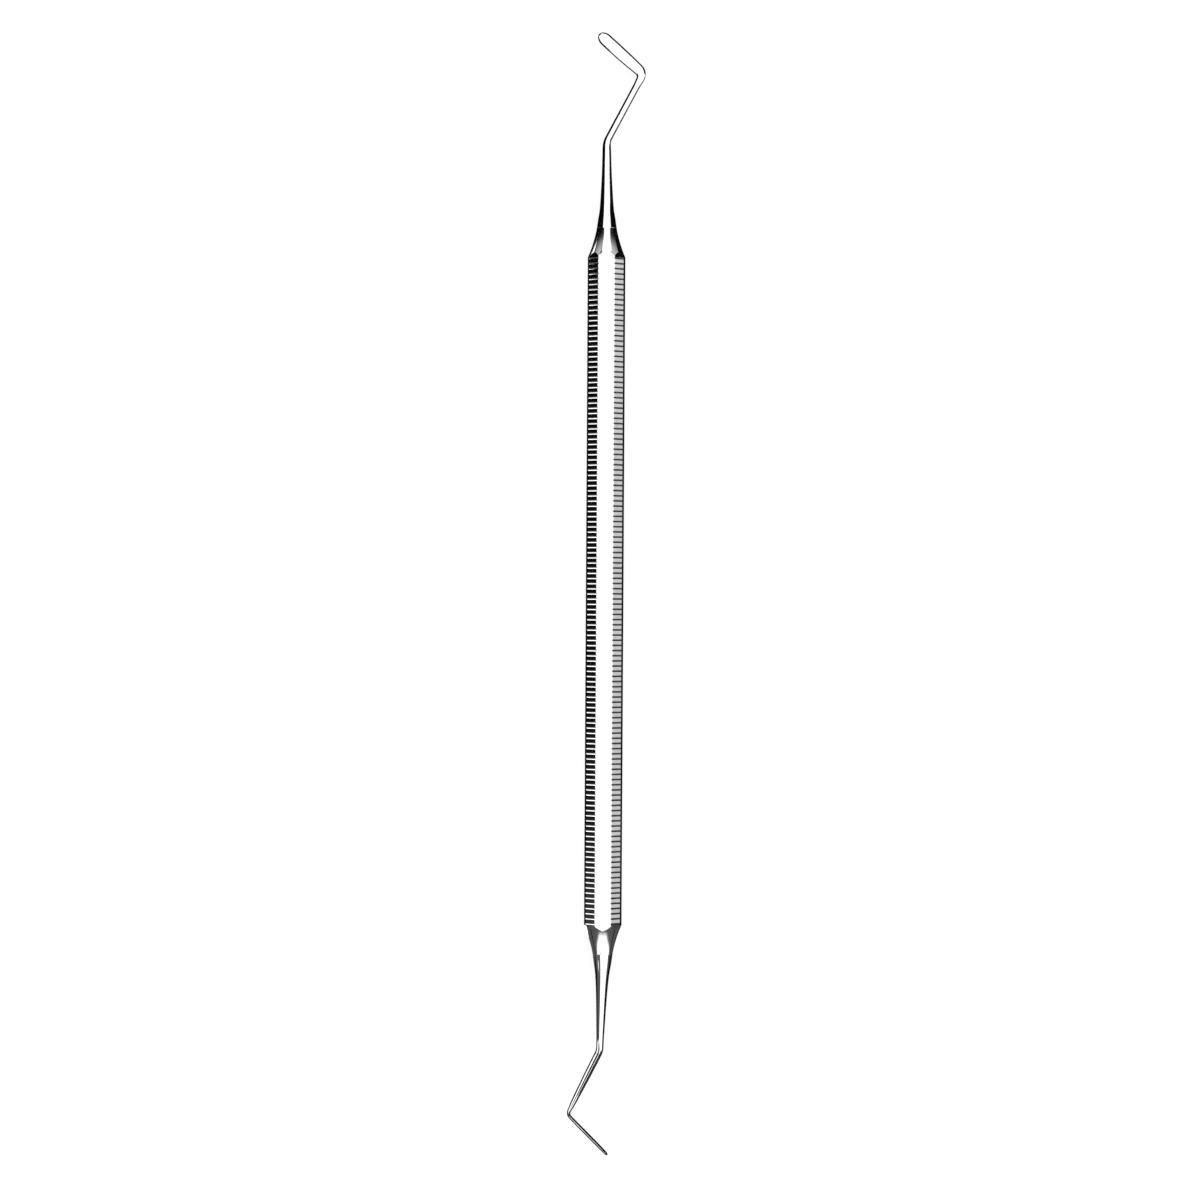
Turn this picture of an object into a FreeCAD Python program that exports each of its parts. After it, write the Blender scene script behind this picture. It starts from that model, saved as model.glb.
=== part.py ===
import FreeCAD, Part
import math
import os
import Sketcher
from FreeCAD import Placement, Rotation, Vector

# Double-ended steel filling spatula. Millimetres, +Z up.
# The tool lies on the back flat of its handle: that flat is z = 0, the handle axis runs
# along Y and the origin is the middle of the flat. The upper end points to +Y.

SIZES = {
    # Handle: a turned bar with plain front and back flats and four grooved diagonal flats.
    "bar_diameter": 6.0,
    "plain_flat_height": 2.685,  # bar axis to the front flat and to the back flat
    "grooved_flat_height": 2.83,  # bar axis to each diagonal flat
    "grip_length": 106.34,  # between the starts of the two turned noses
    # Concave turned nose at each end of the bar.
    "nose_length": 4.65,
    "nose_curve": 21.3,
    "seam_diameter": 3.17,
    # Blind bore in each nose.
    "bore_diameter": 2.2,
    "bore_depth": 12.4,
    "drill_point": 0.62,
    # Rows of straight cross grooves on the diagonal flats.
    "groove_rows": 130,
    "groove_pitch": 0.82,
    "groove_floor": 0.10,
    "groove_depth": 0.11,
    "groove_flank": 40.0,  # degrees between a groove wall and the flat's normal
    "groove_pass": 3.0,  # length of the cutter's straight pass
    # Tang, brazed joint and seam.
    "tang_diameter": 2.0,
    "tang_length": 12.0,
    "tang_chamfer": 0.25,
    "tang_overlap": 0.8,  # how far the tang cylinder reaches into the shank
    "seam_film": 0.05,
    # Start of a working end's centreline.
    "lean_height": 1.6,  # seam to the point where the shank starts to lean
    "lean_bend": 60.0,
    # Sections of a working end, broad side by thin side.
    "throat_broad": 1.14,
    "throat_thin": 1.18,
    "waist_broad": 1.12,
    "waist_thin": 0.86,
    "elbow_broad": 1.30,
    "elbow_thin": 0.60,
    "heel_broad": 1.76,
    "heel_thin": 0.47,
    "belly_broad": 2.06,
    "belly_thin": 0.45,
    "point_broad": 2.02,
    "point_thin": 0.40,
    # Round point of the blade.
    "point_curve": 0.80,
    "point_taper": 1.4,
}

# What differs between the two ends: the shank's taper and the corner points of the
# centreline, from the bar axis, each in the frame of its own end.
UPPER = {
    "upper_collar_diameter": 2.76,
    "upper_taper_a_diameter": 2.28,
    "upper_taper_b_diameter": 1.88,
    "upper_taper_c_diameter": 1.53,
    "upper_neck_diameter": 1.32,
    "upper_neck_x": -0.08,
    "upper_neck_y": 71.63,
    "upper_neck_bend": 2.8,
    "upper_heel_x": 5.66,
    "upper_heel_y": 82.48,
    "upper_heel_bend": 1.3,
    "upper_tip_x": -1.38,
    "upper_tip_y": 88.78,
}
LOWER = {
    "lower_collar_diameter": 2.96,
    "lower_taper_a_diameter": 2.16,
    "lower_taper_b_diameter": 1.74,
    "lower_taper_c_diameter": 1.40,
    "lower_neck_diameter": 1.16,
    "lower_neck_x": 0.36,
    "lower_neck_y": 73.24,
    "lower_neck_bend": 2.4,
    "lower_heel_x": 5.46,
    "lower_heel_y": 83.40,
    "lower_heel_bend": 0.9,
    "lower_tip_x": -0.97,
    "lower_tip_y": 89.86,
}

# Where each section sits on the centreline: size name, edge, fraction of the edge.
ROUND_SECTIONS = [
    ("seam", "Edge1", 0.0),
    ("collar", "Edge1", 1.0),
    ("taper_a", "Edge3", 0.1),
    ("taper_b", "Edge3", 0.35),
    ("taper_c", "Edge3", 0.68),
    ("neck", "Edge3", 1.0),
]
FLAT_SECTIONS = [
    ("throat", "Edge4", 1.0),
    ("waist", "Edge5", 0.86),
    ("elbow", "Edge5", 1.0),
    ("heel", "Edge6", 1.0),
    ("belly", "Edge7", 0.65),
    ("point", "Edge7", 1.0),
]
# The forging in order from the seam: name, how it is skinned, its sections.
# A bend follows one arc of the centreline; the other stretches are skinned freely.
STRETCHES = [
    ("shank", "smooth", ["seam", "collar", "taper_a", "taper_b", "taper_c", "neck"]),
    ("neck_bend", "Edge4", ["neck", "throat"]),
    ("arm", "ruled", ["throat", "waist", "elbow"]),
    ("heel_bend", "Edge6", ["elbow", "heel"]),
    ("blade", "smooth", ["heel", "belly", "point"]),
]
ROUNDNESS = 0.485  # corner radius over thin side, just short of a full round

doc = FreeCAD.newDocument("spatula")
sheet = doc.addObject("Spreadsheet::Sheet", "sizes")
sizes = {**SIZES, **UPPER, **LOWER}
for row, (name, value) in enumerate(sizes.items(), start=1):
    sheet.set("A%d" % row, name)
    sheet.set("B%d" % row, str(value))
    sheet.setAlias("B%d" % row, name)
doc.recompute()


class Amount:
    """A number together with the spreadsheet expression it comes from."""

    def __init__(self, value, text):
        self.value = value
        self.text = text

    def _join(self, other, sign, value):
        text = other.text if isinstance(other, Amount) else repr(other)
        return Amount(value, "(%s %s %s)" % (self.text, sign, text))

    def __add__(self, other):
        return self._join(other, "+", self.value + plain(other))

    def __sub__(self, other):
        return self._join(other, "-", self.value - plain(other))

    def __mul__(self, other):
        return self._join(other, "*", self.value * plain(other))

    def __truediv__(self, other):
        return self._join(other, "/", self.value / plain(other))

    def __neg__(self):
        return self * -1


def plain(item):
    return item.value if isinstance(item, Amount) else item


def size(name):
    return Amount(sizes[name], "sizes." + name)


def slope(angle):
    """Tangent of an angle in degrees."""
    return Amount(math.tan(math.radians(angle.value)), "tan(%s * 1 deg)" % angle.text)


def new_body(label, turn=0):
    """A body whose Y axis is the bar axis, lifted so that the back flat is at z = 0."""
    body = doc.addObject("PartDesign::Body", label)
    body.Label = label
    body.Placement = Placement(Vector(0, 0, 0), Rotation(Vector(0, 0, 1), turn))
    body.setExpression("Placement.Base.z", "sizes.plain_flat_height")
    return body


def origin_item(body, role):
    return next(item for item in body.Origin.OriginFeatures if item.Role == role)


def new_sketch(body, name, role="XY_Plane"):
    sketch = body.newObject("Sketcher::SketchObject", name)
    sketch.AttachmentSupport = [(origin_item(body, role), "")]
    sketch.MapMode = "FlatFace"
    return sketch


def tie(sketch, kind, *args):
    """Adds a dimension to a sketch; the last argument is its Amount."""
    amount = args[-1]
    index = sketch.addConstraint(Sketcher.Constraint(kind, *args[:-1], amount.value))
    sketch.setExpression("Constraints[%d]" % index, amount.text)


def chain(sketch, geometry):
    """Adds lines and arcs that follow one another round a closed outline."""
    first = len(sketch.Geometry)
    for item in geometry:
        sketch.addGeometry(item, False)
    for index in range(len(geometry)):
        following = first + (index + 1) % len(geometry)
        sketch.addConstraint(Sketcher.Constraint("Coincident", first + index, 2, following, 1))


def point(x, y):
    return Vector(plain(x), plain(y), 0)


def segments(points, closed=True):
    """Straight lines through (x, y) points."""
    ends = points[1:] + points[:1] if closed else points[1:]
    return [Part.LineSegment(point(*a), point(*b)) for a, b in zip(points, ends)]


def place_start(sketch, index, x, y):
    """Ties the start point of a line to two Amounts."""
    tie(sketch, "DistanceX", index, 1, x)
    tie(sketch, "DistanceY", index, 1, y)


def outline(sketch, points):
    """Closed outline of straight lines whose corners are all tied to Amounts."""
    chain(sketch, segments(points))
    for index, (x, y) in enumerate(points):
        place_start(sketch, index, x, y)


def turn_profile(body, kind, sketch, name):
    """Turns a profile once round the bar axis, adding or removing material."""
    feature = body.newObject("PartDesign::" + kind, name)
    feature.Profile = sketch
    feature.ReferenceAxis = (sketch, ["V_Axis"])
    feature.Angle = 360
    return feature


ZERO = Amount(0.0, "0")
BAR = size("bar_diameter") / 2
PLAIN = size("plain_flat_height")
GROOVED = size("grooved_flat_height")
HALF_GRIP = size("grip_length") / 2
SEAM = HALF_GRIP + size("nose_length")
SEAM_RADIUS = size("seam_diameter") / 2
BORE = size("bore_diameter") / 2
TANG = size("tang_diameter") / 2
FILM = size("seam_film")


# ---------------------------------------------------------------- handle
def bar_section(sketch):
    """Round bar with a front, a back and four diagonal flats; the sides stay round."""
    radius = BAR.value
    corner = GROOVED.value * math.sqrt(2) - PLAIN.value
    edge = math.radians(45) - math.acos(GROOVED.value / radius)
    side_x = radius * math.cos(edge)
    side_y = radius * math.sin(edge)
    circle = Part.Circle(Vector(0, 0, 0), Vector(0, 0, 1), radius)
    top = [(side_x, side_y), (corner, PLAIN.value), (-corner, PLAIN.value), (-side_x, side_y)]
    bottom = [(-x, -y) for x, y in top]
    right = Part.ArcOfCircle(circle, -edge, edge)
    left = Part.ArcOfCircle(circle, math.pi - edge, math.pi + edge)
    chain(sketch, [right] + segments(top, False) + [left] + segments(bottom, False))
    for arc in (0, 4):
        sketch.addConstraint(Sketcher.Constraint("Coincident", arc, 3, -1, 1))
        tie(sketch, "Radius", arc, BAR)
    for line, height in ((2, PLAIN), (6, -PLAIN)):
        sketch.addConstraint(Sketcher.Constraint("Horizontal", line))
        tie(sketch, "DistanceY", line, 1, height)
    for line, angle in ((1, 135), (3, -135), (5, -45), (7, 45)):
        sketch.addConstraint(Sketcher.Constraint("Angle", line, math.radians(angle)))
        tie(sketch, "Distance", -1, 1, line, GROOVED)


def nose_section(sketch):
    """What turning takes off the bar to leave one concave nose."""
    clear = BAR + 1.0
    beyond = SEAM + 1.0
    start = point(SEAM_RADIUS, SEAM)
    end = point(BAR, HALF_GRIP)
    chord = end - start
    outward = Vector(-chord.y, chord.x, 0)
    outward.normalize()
    curve = sizes["nose_curve"]
    reach = math.sqrt(curve ** 2 - (chord.Length / 2) ** 2)
    centre = (start + end) / 2 + outward * reach
    middle = centre - outward * curve
    chain(sketch, [Part.Arc(start, middle, end)] + segments([
        (BAR, HALF_GRIP),
        (clear, HALF_GRIP),
        (clear, beyond),
        (SEAM_RADIUS, beyond),
        (SEAM_RADIUS, SEAM),
    ], False))
    tie(sketch, "Radius", 0, size("nose_curve"))
    place_start(sketch, 1, BAR, HALF_GRIP)
    place_start(sketch, 2, clear, HALF_GRIP)
    place_start(sketch, 3, clear, beyond)
    place_start(sketch, 4, SEAM_RADIUS, beyond)
    tie(sketch, "DistanceX", 0, 1, SEAM_RADIUS)
    tie(sketch, "DistanceY", 0, 1, SEAM)


def build_handle():
    body = new_body("handle")
    section = new_sketch(body, "bar_section", "XZ_Plane")
    bar_section(section)
    bar = body.newObject("PartDesign::Pad", "bar")
    bar.Profile = section
    bar.Midplane = True
    bar.setExpression("Length", (SEAM * 2).text)

    nose_sketch = new_sketch(body, "nose_section")
    nose_section(nose_sketch)
    nose = turn_profile(body, "Groove", nose_sketch, "nose")

    bore_sketch = new_sketch(body, "bore_section")
    floor = SEAM - size("bore_depth")
    outline(bore_sketch, [
        (ZERO, floor - size("drill_point")),
        (BORE, floor),
        (BORE, SEAM + 1.0),
        (ZERO, SEAM + 1.0),
    ])
    bore = turn_profile(body, "Groove", bore_sketch, "bore")

    both_ends = body.newObject("PartDesign::Mirrored", "both_ends")
    both_ends.Originals = [nose, bore]
    both_ends.MirrorPlane = (origin_item(body, "XZ_Plane"), [""])
    body.Tip = both_ends

    # One straight groove, cut across the first row of a diagonal flat.
    groove_sketch = new_sketch(body, "groove_section", "YZ_Plane")
    groove_sketch.AttachmentOffset = Placement(
        Vector(0, 0, 0), Rotation(Vector(1, 0, 0), 45)
    )
    floor = GROOVED - size("groove_depth")
    top = BAR + 0.1
    first_row = -size("groove_pitch") * (size("groove_rows") - 1) / 2
    half_floor = size("groove_floor") / 2
    half_top = half_floor + (top - floor) * slope(size("groove_flank"))
    outline(groove_sketch, [
        (first_row - half_floor, floor),
        (first_row + half_floor, floor),
        (first_row + half_top, top),
        (first_row - half_top, top),
    ])
    groove = body.newObject("PartDesign::Pocket", "groove")
    groove.Profile = groove_sketch
    groove.Midplane = True
    groove.setExpression("Length", size("groove_pass").text)

    # The row pattern, then its copies on the other three diagonal flats.
    grooves = body.newObject("PartDesign::MultiTransform", "cross_grooves")
    grooves.Originals = [groove]
    rows = body.newObject("PartDesign::LinearPattern", "groove_rows")
    rows.Direction = (origin_item(body, "Y_Axis"), [""])
    rows.setExpression("Length", (size("groove_pitch") * (size("groove_rows") - 1)).text)
    rows.setExpression("Occurrences", size("groove_rows").text)
    sides = body.newObject("PartDesign::Mirrored", "left_and_right")
    sides.MirrorPlane = (origin_item(body, "YZ_Plane"), [""])
    faces = body.newObject("PartDesign::Mirrored", "front_and_back")
    faces.MirrorPlane = (origin_item(body, "XY_Plane"), [""])
    grooves.Transformations = [rows, sides, faces]
    body.Tip = grooves
    return body


# ---------------------------------------------------------------- working ends
def rounded_corner(before, corner, after, radius):
    """Start, middle and end of the arc that rounds a corner, and whether it turns left."""
    back = (before - corner).normalize()
    forth = (after - corner).normalize()
    half = back.getAngle(forth) / 2
    centre = corner + (back + forth).normalize() * (radius / math.sin(half))
    setback = radius / math.tan(half)
    middle = centre + (corner - centre).normalize() * radius
    left = (corner - before).cross(after - corner).z > 0
    return corner + back * setback, middle, corner + forth * setback, left


def centreline(sketch, side):
    """Line from the seam to the blade's tip with a lean, a neck bend and a heel bend."""
    root = SEAM + FILM
    nodes = [
        (ZERO, root),
        (ZERO, root + size("lean_height")),
        (size(side + "_neck_x"), size(side + "_neck_y")),
        (size(side + "_heel_x"), size(side + "_heel_y")),
        (size(side + "_tip_x"), size(side + "_tip_y")),
    ]
    bends = [size("lean_bend"), size(side + "_neck_bend"), size(side + "_heel_bend")]
    spots = [point(*node) for node in nodes]
    start = spots[0]
    lefts = []
    for index, bend in enumerate(bends, start=1):
        first, middle, last, left = rounded_corner(
            spots[index - 1], spots[index], spots[index + 1], bend.value
        )
        sketch.addGeometry(Part.LineSegment(start, first), False)
        sketch.addGeometry(Part.Arc(first, middle, last), False)
        start = last
        lefts.append(left)
    sketch.addGeometry(Part.LineSegment(start, spots[-1]), False)
    place_start(sketch, 0, *nodes[0])
    for index, (left, bend) in enumerate(zip(lefts, bends)):
        line = 2 * index
        arc = line + 1
        near, far = (1, 2) if left else (2, 1)
        sketch.addConstraint(Sketcher.Constraint("Tangent", line, 2, arc, near))
        sketch.addConstraint(Sketcher.Constraint("Tangent", arc, far, line + 2, 1))
        tie(sketch, "Radius", arc, bend)
        corner = sketch.addGeometry(Part.Point(spots[index + 1]), True)
        sketch.addConstraint(Sketcher.Constraint("PointOnObject", corner, 1, line))
        sketch.addConstraint(Sketcher.Constraint("PointOnObject", corner, 1, line + 2))
        tie(sketch, "DistanceX", corner, 1, nodes[index + 1][0])
        tie(sketch, "DistanceY", corner, 1, nodes[index + 1][1])
    tie(sketch, "DistanceX", 6, 2, nodes[-1][0])
    tie(sketch, "DistanceY", 6, 2, nodes[-1][1])


def rounded_section(body, spine, name, edge, fraction, across, depth):
    """Rounded oblong square to the centreline; across lies in the plane of the bends."""
    sketch = body.newObject("Sketcher::SketchObject", name)
    sketch.AttachmentSupport = [(spine, edge)]
    sketch.MapMode = "NormalToEdge"
    sketch.MapReversed = True
    sketch.MapPathParameter = fraction
    thin = across if across.value < depth.value else depth
    corner = thin * ROUNDNESS
    x = across.value / 2
    y = depth.value / 2
    r = corner.value
    quarter = math.pi / 2
    geometry = []
    centres = [(x - r, y - r), (r - x, y - r), (r - x, r - y), (x - r, r - y)]
    for index, (cx, cy) in enumerate(centres):
        circle = Part.Circle(Vector(cx, cy, 0), Vector(0, 0, 1), r)
        geometry.append(Part.ArcOfCircle(circle, index * quarter, (index + 1) * quarter))
        end = geometry[-1].EndPoint
        run = 2 * (x - r) if index % 2 == 0 else 2 * (y - r)
        step = Vector(-run, 0, 0) if index % 2 == 0 else Vector(0, -run, 0)
        step = step if index < 2 else step * -1
        geometry.append(Part.LineSegment(end, end + step))
    for item in geometry:
        sketch.addGeometry(item, False)
    for index in range(8):
        following = (index + 1) % 8
        sketch.addConstraint(Sketcher.Constraint("Tangent", index, 2, following, 1))
    for line in (1, 5):
        sketch.addConstraint(Sketcher.Constraint("Horizontal", line))
    for line in (3, 7):
        sketch.addConstraint(Sketcher.Constraint("Vertical", line))
    for arc in (2, 4, 6):
        sketch.addConstraint(Sketcher.Constraint("Equal", 0, arc))
    tie(sketch, "Radius", 0, corner)
    tie(sketch, "DistanceX", 3, 1, 7, 1, across)
    tie(sketch, "DistanceY", 5, 1, 1, 1, depth)
    sketch.addConstraint(Sketcher.Constraint("Symmetric", 0, 3, 4, 3, -1, 1))
    return sketch


def point_waste(sketch):
    """What is trimmed off the end of the blade to leave a round point."""
    half = size("point_broad") / 2
    start = size("point_taper")
    clear = half + 0.6
    tip = size("point_curve")
    gap = half.value - tip.value
    rise = start.value - tip.value
    side = (half.value ** 2 + rise ** 2 - tip.value ** 2) / (2 * gap)
    joint = math.atan2(-rise, side - half.value)
    # Side arcs run from the blade's edge to the tip arc; all three meet tangentially.
    right = Part.Circle(Vector(half.value - side, start.value, 0), Vector(0, 0, 1), side)
    left = Part.Circle(Vector(side - half.value, start.value, 0), Vector(0, 0, 1), side)
    nose = Part.Circle(Vector(0, tip.value, 0), Vector(0, 0, 1), tip.value)
    sketch.addGeometry(Part.ArcOfCircle(left, math.pi, math.pi - joint), False)
    sketch.addGeometry(Part.ArcOfCircle(nose, math.pi - joint, 2 * math.pi + joint), False)
    sketch.addGeometry(Part.ArcOfCircle(right, 2 * math.pi + joint, 2 * math.pi), False)
    corners = [
        (half, start),
        (clear, start),
        (clear, Amount(-1.0, "-1")),
        (-clear, Amount(-1.0, "-1")),
        (-clear, start),
        (-half, start),
    ]
    for item in segments(corners, False):
        sketch.addGeometry(item, False)
    sketch.addConstraint(Sketcher.Constraint("Tangent", 0, 2, 1, 1))
    sketch.addConstraint(Sketcher.Constraint("Tangent", 1, 2, 2, 1))
    for index in range(2, 7):
        sketch.addConstraint(Sketcher.Constraint("Coincident", index, 2, index + 1, 1))
    sketch.addConstraint(Sketcher.Constraint("Coincident", 7, 2, 0, 1))
    for index, (x, y) in enumerate(corners[:-1], start=3):
        place_start(sketch, index, x, y)
    tie(sketch, "DistanceX", 0, 1, -half)
    tie(sketch, "DistanceY", 0, 1, start)
    tie(sketch, "Radius", 1, tip)
    sketch.addConstraint(Sketcher.Constraint("PointOnObject", 1, 3, -2))
    tie(sketch, "DistanceY", 1, 3, tip)
    for arc in (0, 2):
        tie(sketch, "DistanceY", arc, 3, start)


def build_working_end(side, turn, edgewise):
    """Tang, shank and blade of one end; edgewise bends lie in the plane of the blade."""
    label = side + "_working_end"
    body = new_body(label, turn)

    spine = new_sketch(body, side + "_centreline")
    centreline(spine, side)
    doc.recompute()

    sections = {}
    for name, edge, fraction in ROUND_SECTIONS:
        own = side + "_" + name + "_diameter"
        across = size(own if own in sizes else name + "_diameter")
        title = "%s_%s_section" % (side, name)
        sections[name] = rounded_section(body, spine, title, edge, fraction, across, across)
    for name, edge, fraction in FLAT_SECTIONS:
        across = size(name + "_broad")
        depth = size(name + "_thin")
        if not edgewise:
            across, depth = depth, across
        title = "%s_%s_section" % (side, name)
        sections[name] = rounded_section(body, spine, title, edge, fraction, across, depth)

    for name, skin, names in STRETCHES:
        bent = skin.startswith("Edge")
        kind = "AdditivePipe" if bent else "AdditiveLoft"
        stretch = body.newObject("PartDesign::" + kind, "%s_%s" % (side, name))
        stretch.Profile = sections[names[0]]
        stretch.Sections = [sections[following] for following in names[1:]]
        if bent:
            stretch.Spine = (spine, [skin])
            stretch.Transformation = "Multisection"
            stretch.Mode = "Binormal"
            stretch.Binormal = Vector(0, 0, 1)
        else:
            stretch.Ruled = skin == "ruled"

    tang_sketch = new_sketch(body, side + "_tang_section")
    root = SEAM + FILM
    end = root - size("tang_length")
    chamfer = size("tang_chamfer")
    outline(tang_sketch, [
        (ZERO, end),
        (TANG - chamfer, end),
        (TANG, end + chamfer),
        (TANG, root + size("tang_overlap")),
        (ZERO, root + size("tang_overlap")),
    ])
    turn_profile(body, "Revolution", tang_sketch, side + "_tang")

    trim_sketch = body.newObject("Sketcher::SketchObject", side + "_point_outline")
    trim_sketch.AttachmentSupport = [(spine, "Edge7")]
    trim_sketch.MapMode = "NormalToEdge"
    trim_sketch.MapPathParameter = 1.0
    if edgewise:
        lay_flat = Rotation(Vector(1, 0, 0), 90)
    else:
        lay_flat = Rotation(Vector(1, 1, 1), 120)
    trim_sketch.AttachmentOffset = Placement(Vector(0, 0, 0), lay_flat)
    point_waste(trim_sketch)
    trim = body.newObject("PartDesign::Pocket", side + "_point")
    trim.Profile = trim_sketch
    trim.Midplane = True
    trim.Length = 4.0
    body.Tip = trim
    return body


# ---------------------------------------------------------------- brazed joints
def build_braze(side, turn):
    """Film of brazing alloy round the tang and across the seam."""
    body = new_body(side + "_braze_joint", turn)
    sketch = new_sketch(body, side + "_braze_section")
    root = SEAM + FILM
    outline(sketch, [
        (TANG, root - size("tang_length") + size("tang_chamfer")),
        (BORE, root - size("tang_length") + size("tang_chamfer")),
        (BORE, SEAM),
        (SEAM_RADIUS, SEAM),
        (SEAM_RADIUS, root),
        (TANG, root),
    ])
    turn_profile(body, "Revolution", sketch, side + "_braze")
    return body


bodies = [
    build_handle(),
    build_working_end("upper", 0, edgewise=True),
    build_working_end("lower", 180, edgewise=False),
    build_braze("upper", 0),
    build_braze("lower", 180),
]
doc.recompute()

for item in doc.Objects:
    if "Invalid" in item.State or "Error" in item.State:
        raise RuntimeError("%s does not compute: %s" % (item.Name, item.State))

os.makedirs("parts", exist_ok=True)
for body in bodies:
    shape = body.Shape
    if shape.isNull() or not shape.isValid() or shape.Volume <= 0:
        raise RuntimeError("%s is not a valid solid" % body.Label)
    if len(shape.Solids) != 1:
        raise RuntimeError("%s is %d solids" % (body.Label, len(shape.Solids)))
    box = shape.BoundBox
    print("%-20s %9.3f mm3  x %.2f..%.2f  y %.2f..%.2f  z %.2f..%.2f" % (
        body.Label, shape.Volume, box.XMin, box.XMax, box.YMin, box.YMax, box.ZMin, box.ZMax
    ))
    shape.exportStep("parts/%s.step" % body.Label)
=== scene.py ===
import math

import bpy
import numpy as np
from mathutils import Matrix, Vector


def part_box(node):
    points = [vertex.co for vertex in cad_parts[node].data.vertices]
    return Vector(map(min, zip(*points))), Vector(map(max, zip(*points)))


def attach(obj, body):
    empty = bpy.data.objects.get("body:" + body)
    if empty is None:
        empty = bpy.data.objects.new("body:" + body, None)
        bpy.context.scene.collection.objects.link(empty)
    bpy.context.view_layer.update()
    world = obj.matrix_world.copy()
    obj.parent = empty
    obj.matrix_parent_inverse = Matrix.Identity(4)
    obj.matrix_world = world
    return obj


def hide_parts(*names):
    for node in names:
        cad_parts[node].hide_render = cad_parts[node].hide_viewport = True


# Looks of a double-ended steel filling spatula. Lengths are in millimetres in the frame of
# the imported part, and become metres where a mesh, a light or the camera is made.

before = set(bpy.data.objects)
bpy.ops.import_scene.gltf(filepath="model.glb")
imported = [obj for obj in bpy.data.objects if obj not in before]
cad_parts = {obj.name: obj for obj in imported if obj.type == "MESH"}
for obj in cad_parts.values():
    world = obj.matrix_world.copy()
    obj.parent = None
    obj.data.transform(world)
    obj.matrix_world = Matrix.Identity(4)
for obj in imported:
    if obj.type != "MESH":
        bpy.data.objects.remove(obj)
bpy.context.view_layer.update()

MM = 0.001
handle_low, handle_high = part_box("handle")

# ---------------------------------------------------------------- sizes of the handle
BAR = (handle_high.x - handle_low.x) / 2 / MM
PLAIN = (handle_high.z - handle_low.z) / 2 / MM  # bar axis to the front and back flats
AXIS_Z = PLAIN
SEAM = handle_high.y / MM
GROOVED = 2.83  # bar axis to the four diagonal flats
HALF_GRIP = SEAM - 4.65
NOSE_CURVE = 21.3
SEAM_RADIUS = 1.585
SEAM_EDGE = 0.004  # broken edge at the seam, too small to see
BORE = 1.1
BORE_DEPTH = 12.4
BORE_CHAMFER = 0.05
DRILL_POINT = 0.62
ROWS = 130
PITCH = 0.82
# Half a groove's profile: distance from its middle, depth.
GROOVE = [(0.146, 0.0), (0.136, 0.004), (0.018, 0.072), (0.0, 0.11)]
RUN_OUT = 0.14  # fall of the diagonal flats beyond the last groove, per length
SOFT_EDGE = math.radians(0.9)  # half width of the softened edges between flats
LEAST_EDGE = math.radians(2.2)  # least angle from an edge to the middle of its flat
EDGE_SHARPNESS = 900.0  # power of the mean that rounds the edges a little
DIAGONAL_POINTS = range(4, 11)  # points of a quarter section that lie on its diagonal flat
NOSE_STEPS = 46
NOSE_CROWDING = 1.15  # above 1, the rings of the nose are closer together near the grip

# ---------------------------------------------------------------- sizes of the working ends
FILM = 0.05  # brazed seam
TANG = 1.0
TANG_LENGTH = 12.0
TANG_CHAMFER = 0.25
TANG_FILLET = 0.02  # small step where the tang meets the shank's end face
LEAN_HEIGHT = 1.6
POINT_CURVE = 0.80  # radius of the blade's round point
POINT_TAPER = 1.4  # length over which the blade narrows to its point
# Corner points of each centreline, as x and distance along the bar, the bend radii at the
# lean, the neck and the heel, and the widths at ROUND_SPOTS.
ENDS = {
    "upper": {
        "edgewise": True,  # bent in the plane of its blade
        "neck": (-0.08, 71.63),
        "heel": (5.66, 82.48),
        "tip": (-1.38, 88.78),
        "bends": (60.0, 2.8, 1.3),
        "taper": (2.76, 2.28, 1.88, 1.53, 1.32),
    },
    "lower": {
        "edgewise": False,
        "neck": (0.36, 73.24),
        "heel": (5.46, 83.40),
        "tip": (-0.97, 89.86),
        "bends": (60.0, 2.4, 0.9),
        "taper": (2.96, 2.16, 1.74, 1.40, 1.16),
    },
}
# Round sections after the seam: piece of the centreline, fraction of it.
ROUND_SPOTS = [(0, 1.0), (2, 0.1), (2, 0.35), (2, 0.68), (2, 1.0)]
# Flattened sections: piece of the centreline, fraction of it, broad side, thin side,
# shape of the rim, where 2 is round and 1 is a straight bevel.
FLAT_SPOTS = [
    (3, 1.0, 1.14, 1.18, 2.0),
    (4, 0.86, 1.12, 0.86, 1.8),
    (4, 1.0, 1.30, 0.60, 1.5),
    (5, 1.0, 1.76, 0.47, 1.3),
    (6, 0.65, 2.06, 0.45, 1.25),
    (6, 1.0, 2.02, 0.40, 1.25),
]
ROUNDNESS = 0.485  # corner of the section, as a part of its thin side
MOST_BROAD = 0.97  # how much of the half width the rim's bevel may take
EDGE_ON_RIM = 1.5  # rim shape that the lower end's rims are drawn halfway to
TIP_BEVEL = 0.32  # length of the bevel at the very tip
BEVEL = 0.55  # how much broader than high the rim's bevel gets
SECTION_STEPS = 8  # steps in a quarter of the section
RING_STEP = 0.16
TIP_STEPS = 22


# ---------------------------------------------------------------- mesh building
def area_normals(points, faces):
    """Vertex normals in which large faces count most, so flats stay flat to the eye."""
    normals = np.zeros_like(points)
    for face in faces:
        corners = points[list(face)]
        across = np.roll(corners, -1, axis=0)
        area = np.cross(corners, across).sum(axis=0) / 2
        weight = area * np.linalg.norm(area)
        normals[list(face)] += weight
    length = np.linalg.norm(normals, axis=1, keepdims=True)
    return normals / np.maximum(length, 1e-12)


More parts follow.
